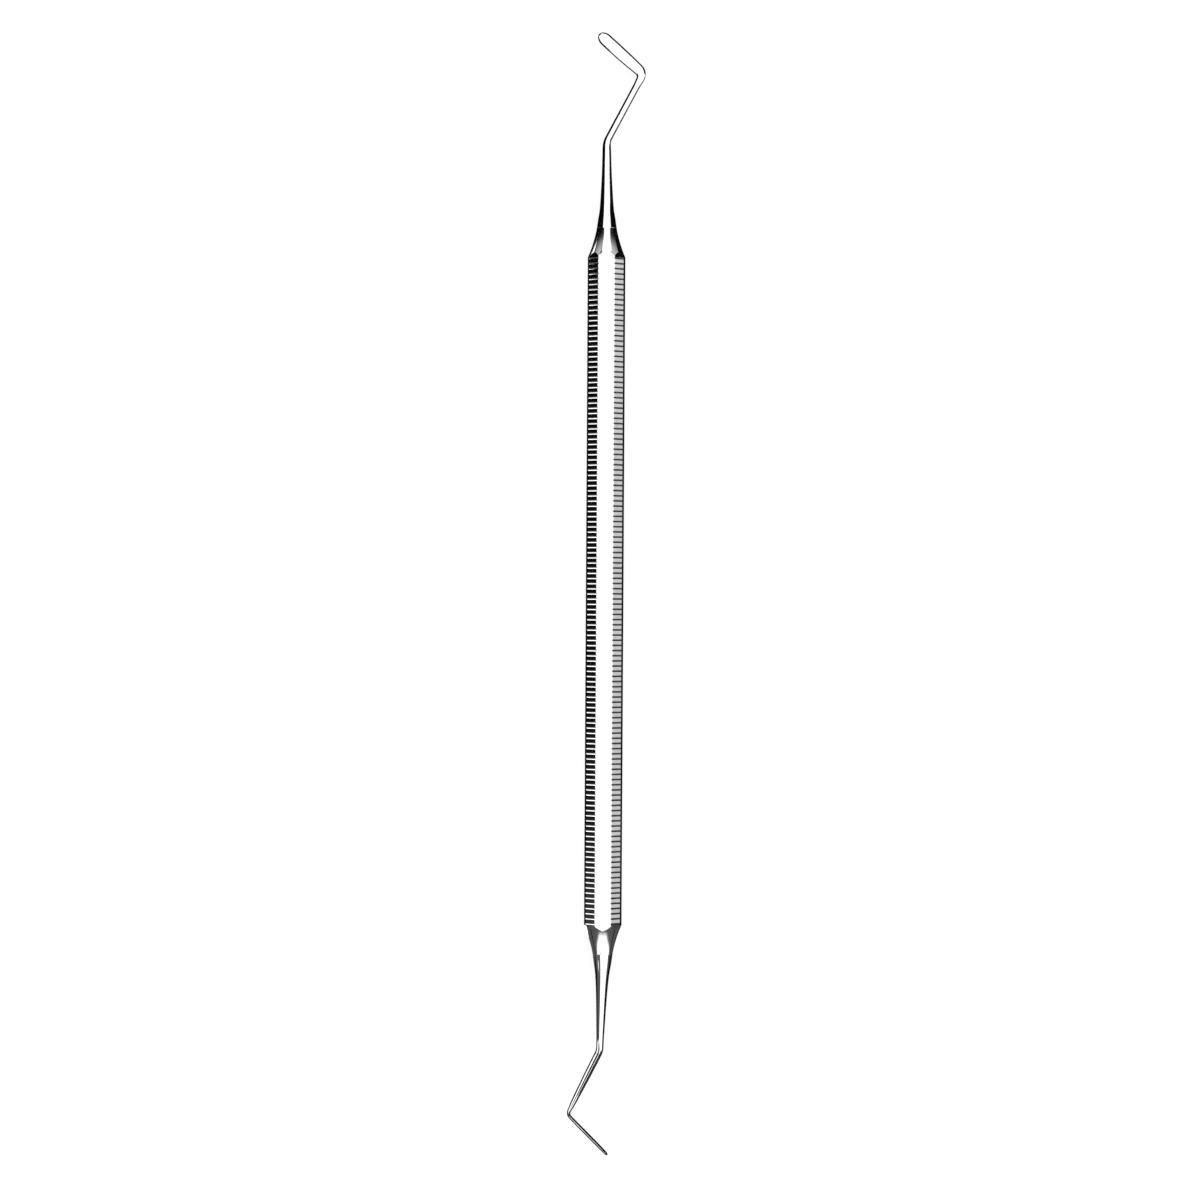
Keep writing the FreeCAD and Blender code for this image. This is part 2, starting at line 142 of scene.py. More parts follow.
def rings_to_mesh(name, rings, straight, extra=None):
    """Closed skin over rings of equal count; a ring of one point is a pole.

    rings: lists of (x, y, z) in mm; straight: the same points in coordinates that follow
    the metal, for the polishing marks; extra: one number per point, such as groove depth.
    """
    points, marks, depth, starts = [], [], [], []
    for index, ring in enumerate(rings):
        starts.append(len(points))
        points.extend(ring)
        marks.extend(straight[index])
        depth.extend(extra[index] if extra else [0.0] * len(ring))
    faces = []
    for index in range(len(rings) - 1):
        a, b = starts[index], starts[index + 1]
        m, n = len(rings[index]), len(rings[index + 1])
        count = max(m, n)
        for k in range(count):
            following = (k + 1) % count
            if m == 1:
                faces.append((a, b + following, b + k))
            elif n == 1:
                faces.append((a + k, a + following, b))
            else:
                faces.append((a + k, a + following, b + following, b + k))
    points = np.array(points, float)
    mesh = bpy.data.meshes.new(name)
    mesh.from_pydata((points * MM).tolist(), [], faces)
    mesh.polygons.foreach_set("use_smooth", [True] * len(faces))
    mesh.normals_split_custom_set_from_vertices(area_normals(points, faces).tolist())
    lie = mesh.attributes.new("straight", "FLOAT_VECTOR", "POINT")
    lie.data.foreach_set("vector", np.array(marks, np.float32).ravel())
    grooves = mesh.attributes.new("groove", "FLOAT", "POINT")
    grooves.data.foreach_set("value", np.array(depth, np.float32))
    mesh.update()
    obj = bpy.data.objects.new(name, mesh)
    bpy.context.scene.collection.objects.link(obj)
    return obj


# ---------------------------------------------------------------- handle
def nose_radius(distance):
    """Radius of the concave nose at a distance from the end of the grip."""
    length = SEAM - HALF_GRIP
    rise = BAR - SEAM_RADIUS
    chord = math.hypot(length, rise)
    reach = math.sqrt(NOSE_CURVE ** 2 - (chord / 2) ** 2)
    centre_y = length / 2 + rise / chord * reach
    centre_r = (BAR + SEAM_RADIUS) / 2 + length / chord * reach
    return centre_r - math.sqrt(NOSE_CURVE ** 2 - (distance - centre_y) ** 2)


def bar_angles(radius, diagonal):
    """Angles of one quarter of the section, closest together where two faces meet."""
    ridge = math.atan2(PLAIN, diagonal * math.sqrt(2) - PLAIN)
    half_diagonal = math.acos(min(1.0, diagonal / radius))
    half_plain = math.acos(min(1.0, PLAIN / radius))
    middle = math.radians(45)
    narrow = LEAST_EDGE
    soft = SOFT_EDGE
    a = min(middle - half_diagonal, middle - narrow)
    b = max(min(middle + half_diagonal, ridge - soft), middle + narrow)
    c = min(max(math.radians(90) - half_plain, ridge + soft), math.radians(90) - narrow)
    return [
        0.0,
        a * 0.36,
        a * 0.7,
        a - soft,
        a,
        a + soft,
        middle,
        b - soft,
        b,
        (b + ridge) / 2 if b < ridge - 1.5 * soft else ridge - soft / 2,
        ridge,
        (c + ridge) / 2 if c > ridge + 1.5 * soft else ridge + soft / 2,
        c,
        c + soft,
        (c + math.radians(90)) / 2 + soft / 2,
    ]


def bar_reach(angle, radius, diagonal):
    """Distance from the bar axis to the surface at an angle within the first quarter."""
    reaches = [
        radius,
        PLAIN / max(math.sin(angle), 1e-6),
        diagonal / math.cos(angle - math.radians(45)),
    ]
    # A power mean close to the least of them, which rounds the edges a little.
    least = min(reaches)
    total = sum((reach / least) ** -EDGE_SHARPNESS for reach in reaches)
    return least * total ** (-1 / EDGE_SHARPNESS)


def bar_ring(y, radius, diagonal):
    """Section of the bar at y, with four quarters of the same count of points."""
    quarter = bar_angles(radius, diagonal)
    reach = [bar_reach(angle, radius, diagonal) for angle in quarter]
    top = min(PLAIN, radius)
    first = [(r * math.cos(t), r * math.sin(t)) for r, t in zip(reach, quarter)]
    second = [(-x, z) for x, z in reversed(first[1:])]
    half = first + [(0.0, top)] + second
    section = half + [(-x, -z) for x, z in half]
    return [(x, y, z + AXIS_Z) for x, z in section]


def build_handle():
    """The bar with its noses, its rows of cross grooves and its two blind bores."""
    stations = []  # y, radius, depth of the groove
    for k in range(NOSE_STEPS + 1):
        distance = (SEAM - HALF_GRIP) * (1 - k / NOSE_STEPS) ** NOSE_CROWDING
        stations.append((-HALF_GRIP - distance, nose_radius(distance), 0.0))
    first = -PITCH * (ROWS - 1) / 2
    for row in range(ROWS):
        middle = first + row * PITCH
        for offset, depth in GROOVE:
            stations.append((middle - offset, BAR, depth))
        for offset, depth in reversed(GROOVE[:-1]):
            stations.append((middle + offset, BAR, depth))
    for y, radius, depth in reversed(stations[: NOSE_STEPS + 1]):
        stations.append((-y, radius, depth))

    last = first + PITCH * (ROWS - 1) + GROOVE[0][0]
    rings = []
    for y, radius, depth in stations:
        fall = max(abs(y) - last, 0.0) * RUN_OUT
        rings.append(bar_ring(y, radius, GROOVED - depth - fall))
    grooves = []
    quarter = len(bar_angles(BAR, GROOVED))
    for _, _, depth in stations:
        share = depth / GROOVE[-1][1]
        one = [share if k in DIAGONAL_POINTS else 0.0 for k in range(quarter)]
        half = one + [0.0] + one[:0:-1]
        grooves.append(half + half)

    def end_rings(sign):
        """Rim, end face, bore and drill point at one end."""
        seam = sign * SEAM
        shape = [
            (seam, SEAM_RADIUS - SEAM_EDGE),
            (seam, BORE + BORE_CHAMFER),
            (seam - sign * BORE_CHAMFER, BORE),
            (seam - sign * BORE_DEPTH, BORE),
        ]
        made = []
        base = rings[0] if sign < 0 else rings[-1]
        for y, radius in shape:
            ring = []
            for x, _, z in base:
                angle = math.atan2(z - AXIS_Z, x)
                ring.append((radius * math.cos(angle), y, AXIS_Z + radius * math.sin(angle)))
            made.append(ring)
        made.append([(0.0, seam - sign * (BORE_DEPTH + DRILL_POINT), AXIS_Z)])
        return made

    rings[0] = [(x, y + SEAM_EDGE, z) for x, y, z in rings[0]]
    rings[-1] = [(x, y - SEAM_EDGE, z) for x, y, z in rings[-1]]
    before = end_rings(-1)[::-1]
    after = end_rings(1)
    blank = [[0.0] * len(ring) for ring in before]
    rings = before + rings + after
    grooves = blank + grooves + blank[::-1]
    straight = [[(x, z, y) for x, y, z in ring] for ring in rings]
    return rings_to_mesh("handle_bar", rings[::-1], straight[::-1], grooves[::-1])


# ---------------------------------------------------------------- working ends
class Path:
    """Straight runs joined by arcs, from corner points and bend radii."""

    def __init__(self, corners, bends):
        self.pieces = []  # start, direction, length, signed curvature
        at = Vector(corners[0])
        for index, bend in enumerate(bends, start=1):
            corner = Vector(corners[index])
            back = (Vector(corners[index - 1]) - corner).normalized()
            forth = (Vector(corners[index + 1]) - corner).normalized()
            half = back.angle(forth) / 2
            setback = bend / math.tan(half)
            first = corner + back * setback
            self.pieces.append((at, -back, (first - at).length, 0.0))
            turn = -back.x * forth.y + back.y * forth.x
            swing = math.pi - 2 * half
            self.pieces.append((first, -back, bend * swing, math.copysign(1 / bend, turn)))
            at = corner + forth * setback
        last = Vector(corners[-1])
        self.pieces.append((at, (last - at).normalized(), (last - at).length, 0.0))
        self.starts = [0.0]
        for piece in self.pieces:
            self.starts.append(self.starts[-1] + piece[2])
        self.length = self.starts[-1]

    def station(self, piece, fraction):
        return self.starts[piece] + self.pieces[piece][2] * fraction

    def place(self, s):
        """Point and direction at a distance along the path."""
        index = 0
        while index < len(self.pieces) - 1 and s > self.starts[index + 1]:
            index += 1
        start, direction, _, curvature = self.pieces[index]
        run = s - self.starts[index]
        side = Vector((-direction.y, direction.x))
        if curvature == 0.0:
            return start + direction * run, direction
        angle = run * curvature
        along = math.sin(angle) / curvature
        over = (1 - math.cos(angle)) / curvature
        here = start + direction * along + side * over
        return here, direction * math.cos(angle) + side * math.sin(angle)


def smooth_through(xs, ys):
    """Monotone cubic through points, as a function."""
    xs, ys = np.array(xs), np.array(ys)
    h = np.diff(xs)
    d = np.diff(ys) / h
    m = np.zeros(len(xs))
    for k in range(1, len(xs) - 1):
        if d[k - 1] * d[k] > 0:
            w1, w2 = 2 * h[k] + h[k - 1], h[k] + 2 * h[k - 1]
            m[k] = (w1 + w2) / (w1 / d[k - 1] + w2 / d[k])
    m[0], m[-1] = d[0], d[-1]

    def value(x):
        k = int(np.clip(np.searchsorted(xs, x) - 1, 0, len(h) - 1))
        t = (x - xs[k]) / h[k]
        a = (1 + 2 * t) * (1 - t) ** 2 * ys[k] + t * (1 - t) ** 2 * h[k] * m[k]
        b = t * t * (3 - 2 * t) * ys[k + 1] + t * t * (t - 1) * h[k] * m[k + 1]
        return a + b

    return value


def oblong(half_across, half_depth, rim=2.0):
    """Rounded oblong as (across, depth) points, counter-clockwise."""
    corner = 2 * min(half_across, half_depth) * ROUNDNESS
    longest = MOST_BROAD * max(half_across, half_depth)
    broad = min(corner * (1 + (2 - rim) * BEVEL), longest)
    over, down = (broad, corner) if half_across > half_depth else (corner, broad)
    quarter = []
    for k in range(SECTION_STEPS + 1):
        angle = math.radians(90) * k / SECTION_STEPS
        quarter.append((
            half_across - over + over * abs(math.cos(angle)) ** (2 / rim),
            half_depth - down + down * math.sin(angle) ** (2 / rim),
        ))
    half = quarter + [(0.0, half_depth)] + [(-x, z) for x, z in reversed(quarter)]
    return half + [(-x, -z) for x, z in half]


def tip_half_width(t, half):
    """Half the blade's width at a distance from its tip: round point, arched sides."""
    gap = half - POINT_CURVE
    rise = POINT_TAPER - POINT_CURVE
    side = (half ** 2 + rise ** 2 - POINT_CURVE ** 2) / (2 * gap)
    joint = POINT_TAPER - side * rise / math.hypot(rise, side - half)
    if t >= POINT_TAPER:
        return half
    if t > joint:
        return half - side + math.sqrt(side ** 2 - (t - POINT_TAPER) ** 2)
    return math.sqrt(max(POINT_CURVE ** 2 - (t - POINT_CURVE) ** 2, 0.0))


def build_end(side, sign):
    """Tang, shank and blade of one end; sign is 1 towards +Y and -1 towards -Y."""
    end = ENDS[side]
    root = SEAM + FILM
    corners = [(0.0, root), (0.0, root + LEAN_HEIGHT), end["neck"], end["heel"], end["tip"]]
    path = Path(corners, end["bends"])

    stations = [0.0] + [path.station(*spot) for spot in ROUND_SPOTS]
    across = [SEAM_RADIUS * 2, *end["taper"]]
    depth = list(across)
    rims = [2.0] * len(across)
    for piece, fraction, broad, thin, rim in FLAT_SPOTS:
        stations.append(path.station(piece, fraction))
        across.append(broad if end["edgewise"] else thin)
        depth.append(thin if end["edgewise"] else broad)
        rims.append(rim if end["edgewise"] else (rim + EDGE_ON_RIM) / 2)
    across_at = smooth_through(stations, [value / 2 for value in across])
    depth_at = smooth_through(stations, [value / 2 for value in depth])
    rim_at = smooth_through(stations, rims)

    samples = list(np.arange(0.0, path.length - POINT_TAPER, RING_STEP))
    for k in range(TIP_STEPS):
        t = POINT_TAPER * (1 - k / TIP_STEPS) ** 2
        samples.append(path.length - t)

    rings, straight = [], []

    def lathe_ring(y, radius):
        """A round section of the tang, in step with the sections of the shank."""
        section = oblong(radius, radius)
        rings.append([(-sign * x, sign * y, AXIS_Z + z) for x, z in section])
        straight.append([(x, z, y) for x, z in section])

    tang_end = root - TANG_LENGTH
    rings.append([(0.0, sign * tang_end, AXIS_Z)])
    straight.append([(0.0, 0.0, tang_end)])
    lathe_ring(tang_end, TANG - TANG_CHAMFER)
    lathe_ring(tang_end + TANG_CHAMFER, TANG)
    lathe_ring(root - TANG_FILLET, TANG)
    lathe_ring(root, TANG + TANG_FILLET)
    lathe_ring(root, SEAM_RADIUS - SEAM_EDGE)
    for s in samples:
        station = max(s, SEAM_EDGE)
        here, ahead = path.place(station)
        half_across = float(across_at(station))
        half_depth = float(depth_at(station))
        t = path.length - s
        broad = half_across if end["edgewise"] else half_depth
        thin = half_depth if end["edgewise"] else half_across
        if t < POINT_TAPER:
            broad = min(broad, tip_half_width(t, broad))
        rim = float(rim_at(station))
        if t < TIP_BEVEL:
            thin *= max(1 - (1 - t / TIP_BEVEL) ** rim, 1e-6) ** (1 / rim)
        half_across, half_depth = (broad, thin) if end["edgewise"] else (thin, broad)
        section = oblong(half_across, half_depth, rim)
        sideways = Vector((-ahead.y, ahead.x))
        ring = []
        for u, z in section:
            spot = here + sideways * u
            ring.append((sign * spot.x, sign * spot.y, AXIS_Z + z))
        rings.append(ring)
        straight.append([(u, z, root + station) for u, z in section])
    tip, _ = path.place(path.length)
    rings.append([(sign * tip.x, sign * tip.y, AXIS_Z)])
    straight.append([(0.0, 0.0, root + path.length)])
    return rings_to_mesh(side + "_spatula", rings, straight)


handle = build_handle()
upper = build_end("upper", 1)
lower = build_end("lower", -1)


# ---------------------------------------------------------------- shader helpers
class Graph:
    """A node tree that is written as expressions: sockets and numbers in, sockets out."""

    def __init__(self, tree):
        self.tree = tree
        tree.nodes.clear()

    def node(self, kind, inputs=None, **settings):
        made = self.tree.nodes.new(kind)
        for name, value in settings.items():
            setattr(made, name, value)
        for name, value in (inputs or {}).items():
            socket = made.inputs[name]
            if isinstance(value, bpy.types.NodeSocket):
                self.tree.links.new(value, socket)
            else:
                socket.default_value = value
        return made

    def math(self, operation, *values):
        made = self.node("ShaderNodeMath", dict(enumerate(values)), operation=operation)
        return made.outputs[0]

    def add(self, first, *others):
        for other in others:
            first = self.math("ADD", first, other)
        return first

    def mul(self, first, *others):
        for other in others:
            first = self.math("MULTIPLY", first, other)
        return first

    def rise(self, value, low, high):
        """Smooth step from 0 at low to 1 at high."""
        inputs = {"Value": value, "From Min": low, "From Max": high}
        made = self.node("ShaderNodeMapRange", inputs, interpolation_type="SMOOTHSTEP")
        return made.outputs["Result"]

    def spread(self, value, low, high):
        """A 0 to 1 value stretched to low to high."""
        inputs = {"Value": value, "To Min": low, "To Max": high}
        return self.node("ShaderNodeMapRange", inputs).outputs["Result"]

    def band(self, value, low, high, soft):
        """1 between low and high, 0 outside, with edges of the given softness."""
        up = self.rise(value, low - soft, low + soft)
        down = self.rise(value, high - soft, high + soft)
        return self.math("SUBTRACT", up, down)

    def split(self, vector):
        return self.node("ShaderNodeSeparateXYZ", {0: vector}).outputs

    def noise(self, vector, scale, stretch=(1, 1, 1), detail=2.0, rough=0.5):
        stretched = self.node(
            "ShaderNodeVectorMath", {0: vector, 1: stretch}, operation="MULTIPLY"
        ).outputs[0]
        inputs = {"Vector": stretched, "Scale": scale, "Detail": detail, "Roughness": rough}
        return self.node("ShaderNodeTexNoise", inputs).outputs["Fac"]

    def mix(self, factor, first, second):
        made = self.node("ShaderNodeMix", data_type="RGBA")
        for socket, value in zip((made.inputs[0], made.inputs[6], made.inputs[7]),
                                 (factor, first, second)):
            if isinstance(value, bpy.types.NodeSocket):
                self.tree.links.new(value, socket)
            else:
                socket.default_value = value
        return made.outputs[2]


def new_material(name):
    material = bpy.data.materials.new(name)
    material.use_nodes = True
    return material, Graph(material.node_tree)


def grey(value, warmth=0.0):
    return (value + warmth, value, value - warmth, 1.0)


def metal(graph, colour, roughness, height, distance):
    """Finish a material as bare metal; distance is the height of its marks in metres."""
    bump = graph.node("ShaderNodeBump", {"Height": height, "Distance": distance})
    shader = graph.node("ShaderNodeBsdfPrincipled", {
        "Base Color": colour,
        "Metallic": 1.0,
        "Roughness": roughness,
        "Normal": bump.outputs["Normal"],
    })
    graph.node("ShaderNodeOutputMaterial", {"Surface": shader.outputs["BSDF"]})


# Textures: scale, stretch (across, up, along), detail and roughness of a noise. The steel
# ones are per millimetre, and those from BRAZE_GRAIN on per metre.
EVEN = (1.0, 1.0, 1.0)
BAR_POLISH = (1.0, (16.0, 16.0, 0.35), 3.0, 0.6)
BAR_STREAKS = (1.0, (0.7, 0.7, 4.2), 2.0, 0.6)
BAR_CLOUDS = (0.55, (1.0, 1.0, 0.6), 3.0, 0.55)
BAR_SPECKS = (9.0, EVEN, 2.0, 0.5)
NOSE_TURNING = (1.0, (0.6, 0.6, 20.0), 3.0, 0.6)
CUTTER_MARKS = (1.0, (5.0, 5.0, 40.0), 2.0, 0.6)
END_POLISH = (1.0, (22.0, 22.0, 0.5), 3.0, 0.6)
END_CROSS_MARKS = (1.0, (1.2, 1.2, 14.0), 2.0, 0.5)
END_CLOUDS = (0.8, (1.0, 1.0, 0.5), 3.0, 0.55)
BRAZE_GRAIN = (9000.0, EVEN, 3.0, 0.6)
BRAZE_PATCHES = (1500.0, EVEN, 2.0, 0.5)
PAPER_FIBRE = (900.0, EVEN, 3.0, 0.6)
# Height of the marks, in metres.
BAR_MARKS = 0.0000006
END_MARKS = 0.0000005
BRAZE_MARKS = 0.000001


def handle_steel():
    """Polished flats with lengthwise marks, turned noses, satin grooves darkened with
    painted shade.
    """
    material, g = new_material("handle_steel")
    lie = g.node("ShaderNodeAttribute", attribute_name="straight").outputs["Vector"]
    groove = g.node("ShaderNodeAttribute", attribute_name="groove").outputs["Fac"]
    across, _, along = g.split(lie)
    nose = g.rise(g.math("ABSOLUTE", along), HALF_GRIP - 0.1, HALF_GRIP + 0.3)
    in_groove = g.rise(groove, 0.15, 0.8)
    diagonal = g.rise(g.math("ABSOLUTE", across), 1.35, 1.5)
    streaks = g.mul(diagonal, g.rise(g.noise(lie, *BAR_STREAKS), 0.42, 0.7))

    lengthwise = g.noise(lie, *BAR_POLISH)
    turned = g.noise(lie, *NOSE_TURNING)
    cutter = g.noise(lie, *CUTTER_MARKS)
    cloudy = g.noise(lie, *BAR_CLOUDS)
    specks = g.noise(lie, *BAR_SPECKS)

    marks = g.add(g.mul(lengthwise, g.math("SUBTRACT", 1.0, nose)), g.mul(turned, nose))
    height = g.add(marks, g.mul(cutter, in_groove, 3.0))
    roughness = g.add(
        g.spread(cloudy, 0.07, 0.13),
        g.mul(marks, 0.03),
        g.mul(in_groove, 0.06),
    )
    clean = g.mix(cloudy, grey(0.63, -0.004), grey(0.69, -0.002))
    dusty = g.mix(g.rise(specks, 0.35, 0.75), clean, grey(0.60, -0.002))
    ground = g.mix(g.mul(streaks, 0.6), dusty, grey(0.46, -0.003))
    # Painted shade: the colour darkens inside the grooves, most towards their floors.
    colour = g.mix(g.mul(in_groove, 0.55), ground, grey(0.50, -0.004))
    metal(g, colour, roughness, height, BAR_MARKS)
    return material


def end_steel():
    """Mirror polish with faint lengthwise and cross marks, slightly cloudy."""
    material, g = new_material("end_steel")
    lie = g.node("ShaderNodeAttribute", attribute_name="straight").outputs["Vector"]
    lengthwise = g.noise(lie, *END_POLISH)
    cross = g.noise(lie, *END_CROSS_MARKS)
    cloudy = g.noise(lie, *END_CLOUDS)
    height = g.add(g.mul(lengthwise, 0.7), g.mul(cross, 0.3))
    roughness = g.add(g.spread(cloudy, 0.05, 0.11), g.mul(lengthwise, 0.025))
    colour = g.mix(cloudy, grey(0.66, -0.003), grey(0.71, -0.002))
    metal(g, colour, roughness, height, END_MARKS)
    return material


def braze_alloy():
    """Dressed silver alloy, slightly warmer and duller than the steel."""
    material, g = new_material("braze_alloy")
    place = g.node("ShaderNodeTexCoord").outputs["Object"]
    grain = g.noise(place, *BRAZE_GRAIN)
    patches = g.noise(place, *BRAZE_PATCHES)
    colour = g.mix(patches, grey(0.66, 0.03), grey(0.76, 0.02))
    metal(g, colour, g.spread(grain, 0.16, 0.30), grain, BRAZE_MARKS)
    return material


HANDLE_STEEL = handle_steel()
END_STEEL = end_steel()
BRAZE_ALLOY = braze_alloy()

handle.data.materials.append(HANDLE_STEEL)
for end in (upper, lower):
    end.data.materials.append(END_STEEL)
for name in ("upper_braze_joint", "lower_braze_joint"):
    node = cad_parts[name]
    if not node.material_slots:
        node.data.materials.append(BRAZE_ALLOY)
    for slot in node.material_slots:
        slot.material = BRAZE_ALLOY

for piece, node, slot in (
    (handle, "handle", "handle_steel"),
    (upper, "upper_working_end", "end_steel"),
    (lower, "lower_working_end", "end_steel"),
):
    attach(piece, "root")
    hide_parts(node)


# ---------------------------------------------------------------- floor
FLOOR_HALF = 2500.0
FLOOR_SQUARES = 8
FLOOR_DROP = 0.02  # below the tool, so the two don't share a plane
FLOOR_LIGHT = 0.8


def build_floor():
    """A broad pale table top. Reflections in the steel pass through it to the studio."""
    row = FLOOR_SQUARES + 1
    lines = [FLOOR_HALF * (2 * k / FLOOR_SQUARES - 1) for k in range(row)]
    points = [(x * MM, y * MM, -FLOOR_DROP * MM) for y in lines for x in lines]
    faces = []
    for j in range(FLOOR_SQUARES):
        for i in range(FLOOR_SQUARES):
            a = j * row + i
            faces.append((a, a + 1, a + row + 1, a + row))
    mesh = bpy.data.meshes.new("floor")
    mesh.from_pydata(points, [], faces)
    floor = bpy.data.objects.new("floor", mesh)
    bpy.context.scene.collection.objects.link(floor)
    material, g = new_material("floor_paper")
    place = g.node("ShaderNodeTexCoord").outputs["Object"]
    fibre = g.noise(place, *PAPER_FIBRE)
    colour = g.mix(fibre, grey(0.24), grey(0.27))
    paper = g.node("ShaderNodeBsdfDiffuse", {"Color": colour})
    lit = g.node("ShaderNodeEmission", {"Color": grey(1.0), "Strength": FLOOR_LIGHT})
    shader = g.node("ShaderNodeAddShader", {0: paper.outputs[0], 1: lit.outputs[0]})
    g.node("ShaderNodeOutputMaterial", {"Surface": shader.outputs[0]})
    mesh.materials.append(material)
    floor.visible_glossy = False
    floor.visible_shadow = False


build_floor()


# ---------------------------------------------------------------- studio light
BOX_LIGHT = 1.75
FAR_LIGHT = 0.75
CLOSE_LIGHT = 0.12
LOW_LEFT_LIGHT = 2.5
CARD_LIGHT = (0.92, 1.12)
STRAY_LIGHT = 0.004
BACKDROP_LIGHT = 1.06
# Edges of the box overhead, as slopes from straight up: x / z to the right and y / z away.
BOX_NEAR = (-1.0, -0.86)
BOX_FAR = (1.37, 1.23)
BOX_BOW = 0.18  # how far the near edge comes nearer, per slope to the side
BOX_BOW_END = 2.0
BOX_SOFT = 0.08
BOX_SOFT_RIGHT = 0.12
BOX_LEFT = 0.9  # overhead and beyond
BOX_LEFT_CUT = -0.4  # just nearer than overhead
BOX_LEFT_GAIN = 1.3  # nearer still
BOX_RIGHT = 2.4
BOX_RIGHT_FAR = 1.05


def build_studio():
    """Soft boxes and dark areas of the surroundings, by direction."""
    world = bpy.data.worlds.new("studio")
    bpy.context.scene.world = world
    world.use_nodes = True
    g = Graph(world.node_tree)
    direction = g.node("ShaderNodeTexCoord").outputs["Generated"]
    x, y, z = g.split(direction)
    left = g.mul(x, -1.0)
    near = g.mul(y, -1.0)
    down = g.mul(z, -1.0)
    height = g.math("MAXIMUM", z, 0.02)
    across = g.math("DIVIDE", x, height)
    along = g.math("DIVIDE", y, height)
    above = g.rise(z, 0.02, 0.06)

    # Large white box overhead. Its near edge bows outwards, its left edge steps in just
    # nearer than overhead and out again nearer still, and its right edge steps in far away.
    bow = g.mul(g.math("MINIMUM", g.math("ABSOLUTE", across), BOX_BOW_END), BOX_BOW)
    near_edge = g.rise(g.add(along, bow), *BOX_NEAR)
    far_edge = g.rise(along, *BOX_FAR)
    left_limit = g.add(
        BOX_LEFT,
        g.mul(g.rise(along, -0.02, -0.06), BOX_LEFT_CUT),
        g.mul(g.rise(along, -0.56, -0.66), BOX_LEFT_GAIN),
    )
    right_limit = g.spread(g.rise(along, 0.30, 0.42), BOX_RIGHT, BOX_RIGHT_FAR)
    beyond_right = g.math("SUBTRACT", across, right_limit)
    left_edge = g.rise(g.add(across, left_limit), -BOX_SOFT, BOX_SOFT)
    right_edge = g.rise(beyond_right, BOX_SOFT_RIGHT, -BOX_SOFT_RIGHT)
    box = g.mul(above, left_edge, right_edge, near_edge, far_edge)
    # Far side above the table: light grey. Near side: dark grey.
    far = g.mul(g.rise(z, -0.02, 0.06), g.rise(y, 0.46, 0.68))
    close = g.mul(g.rise(near, 0.15, 0.3), g.rise(z, -0.85, -0.75))
    beside = g.mul(g.rise(near, 0.05, 0.1), g.rise(z, -0.35, -0.25), g.rise(left, 0.0, 0.2))
    close = g.math("MAXIMUM", close, beside)
    # White light from low on the left, from the far side and from below at the near side.
    sweep = g.math("SUBTRACT", near, g.mul(g.math("ABSOLUTE", x), 0.5))
    near_part = g.mul(g.rise(sweep, 0.0, 0.03), g.rise(down, 0.48, 0.54))
    ends = g.math("MAXIMUM", g.rise(y, 0.37, 0.40), near_part)
    low_left = g.mul(g.rise(left, 0.0, 0.06), g.rise(down, 0.02, 0.08), ends)
    # Pale card straight across on the right, a little brighter towards the far side.
    upright_band = g.band(z, -0.3, 0.3, 0.1)
    card = g.mul(g.rise(x, 0.85, 0.93), g.band(y, -0.11, 0.11, 0.03), upright_band)

    rest = g.add(
        g.mul(far, FAR_LIGHT),
        g.mul(close, CLOSE_LIGHT),
        g.mul(low_left, LOW_LEFT_LIGHT),
        g.mul(card, g.spread(g.rise(y, 0.03, 0.09), *CARD_LIGHT)),
    )
    open_sky = g.math("SUBTRACT", 1.0, box)
    light = g.add(g.mul(box, BOX_LIGHT), g.mul(rest, open_sky), STRAY_LIGHT)
    studio = g.node("ShaderNodeBackground", {"Color": grey(1.0), "Strength": light})
    backdrop = g.node("ShaderNodeBackground", {
        "Color": grey(1.0),
        "Strength": BACKDROP_LIGHT,
    })
    seen = g.node("ShaderNodeLightPath").outputs["Is Camera Ray"]
    shown = g.node("ShaderNodeMixShader", {
        0: seen,
        1: studio.outputs[0],
        2: backdrop.outputs[0],
    })
    g.node("ShaderNodeOutputWorld", {"Surface": shown.outputs[0]})
    world.cycles.sampling_method = "NONE"


FLAG_BLACK = 0.003
CARD_LIGHTS = (("white", 1.75), ("grey", 0.85), ("dim", 0.12))
TABLE = -0.5  # height of the panels' lower edges, just under the floor


def upright(start, end, low, high):
    """Corners of a vertical panel over a line on the table."""
    return [(*start, low), (*end, low), (*end, high), (*start, high)]


def level(low, high, z):
    """Corners of a panel parallel to the table."""
    return [(*low, z), (high[0], low[1], z), (*high, z), (low[0], high[1], z)]


def over_arm(first, last, left, right, height):
    """Corners of a panel above the lower arm: distances along it and to its sides."""
    neck = -Vector(ENDS["lower"]["neck"])
    heel = -Vector(ENDS["lower"]["heel"])
    ahead = (heel - neck).normalized()
    aside = Vector((-ahead.y, ahead.x))
    spots = [(first, left), (last, left), (last, right), (first, right)]
    return [(*(neck + ahead * a + aside * b), height) for a, b in spots]


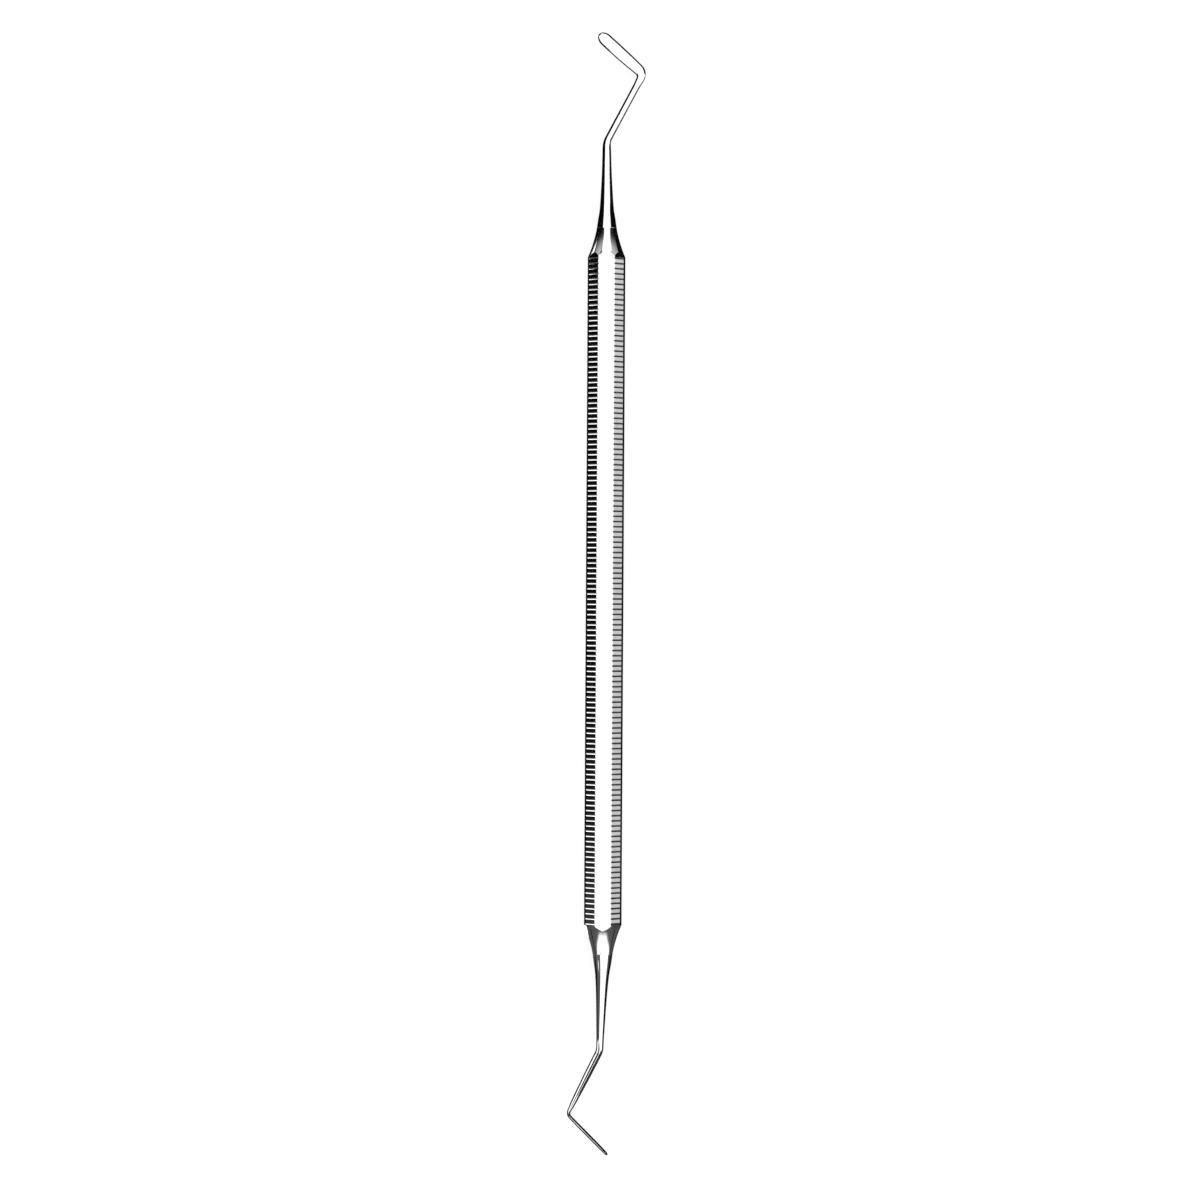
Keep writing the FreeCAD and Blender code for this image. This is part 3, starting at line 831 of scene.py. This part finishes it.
def build_flags():
    """Black, white and grey panels close to the two ends, seen only in the reflections."""
    black, g = new_material("black_panel")
    cloth = g.node("ShaderNodeBsdfDiffuse", {"Color": grey(FLAG_BLACK)})
    g.node("ShaderNodeOutputMaterial", {"Surface": cloth.outputs[0]})
    cards = {}
    for name, strength in CARD_LIGHTS:
        cards[name], g = new_material(name + "_panel")
        glow = g.node("ShaderNodeEmission", {"Color": grey(1.0), "Strength": strength})
        g.node("ShaderNodeOutputMaterial", {"Surface": glow.outputs[0]})
    panels = {
        "flag_under_upper_end": (black, level((-60, 61), (60, 130), TABLE)),
        "flag_under_lower_end": (black, level((-60, -130), (60, -61), TABLE)),
        "flag_left_of_upper_end": (black, upright((-15, 72), (-15, 112), TABLE, 22)),
        "flag_low_left_of_upper_end": (black, upright((-15, 56), (-15, 72), TABLE, 5.5)),
        "flag_right_of_upper_end": (black, upright((25, 88), (25, 112), TABLE, 25)),
        "flag_beyond_upper_end": (black, upright((-15, 112), (25, 112), TABLE, 30)),
        "flag_over_lower_arm": (black, over_arm(0.8, 10.6, -7.0, 3.4, 9.2)),
        "flag_right_of_lower_arm": (black, over_arm(-1.0, 9.0, 5.7, 40.0, 9.2)),
        "flag_inside_upper_bend": (black, upright((-7, 84.5), (0.8, 76.8), TABLE, 6.5)),
        "card_right_of_upper_arm": (
            cards["grey"],
            upright((4.9, 72.0), (8.2, 78.3), 3.6, 5.8),
        ),
        "card_left_of_lower_arm": (
            cards["white"],
            upright((-4.9, -72.2), (-9.6, -81.6), 3.6, 8.0),
        ),
        "card_under_lower_nose": (cards["dim"], level((-30, -61), (0, -55.6), -0.4)),
    }
    for name, (material, points) in panels.items():
        mesh = bpy.data.meshes.new(name)
        mesh.from_pydata([[c * MM for c in spot] for spot in points], [], [(0, 1, 2, 3)])
        mesh.materials.append(material)
        panel = bpy.data.objects.new(name, mesh)
        bpy.context.scene.collection.objects.link(panel)
        panel.visible_camera = False
        panel.visible_diffuse = False
        panel.visible_transmission = False
        panel.visible_shadow = False


build_studio()
build_flags()


# ---------------------------------------------------------------- camera
IMAGE_WIDTH = 1200
SCALE = 6.275  # picture widths are this many pixels to the millimetre at the bar axis
ROLL = math.radians(0.334)
OFFSET = (-4.66 / SCALE, -8.85 / SCALE)  # image centre from the middle of the handle
LENS = 135.0
SENSOR = 36.0


def build_camera():
    distance = LENS * IMAGE_WIDTH / SCALE / SENSOR
    data = bpy.data.cameras.new("camera")
    data.lens = LENS
    data.sensor_width = SENSOR
    data.clip_start = 0.01
    data.clip_end = 20.0
    camera = bpy.data.objects.new("camera", data)
    bpy.context.scene.collection.objects.link(camera)
    right = Vector((math.cos(ROLL), math.sin(ROLL), 0.0))
    up = Vector((-math.sin(ROLL), math.cos(ROLL), 0.0))
    spot = right * OFFSET[0] + up * OFFSET[1] + Vector((0.0, 0.0, AXIS_Z + distance))
    camera.location = spot * MM
    camera.rotation_euler = (0.0, 0.0, ROLL)
    bpy.context.scene.camera = camera


build_camera()
bpy.context.scene.view_settings.view_transform = "Standard"
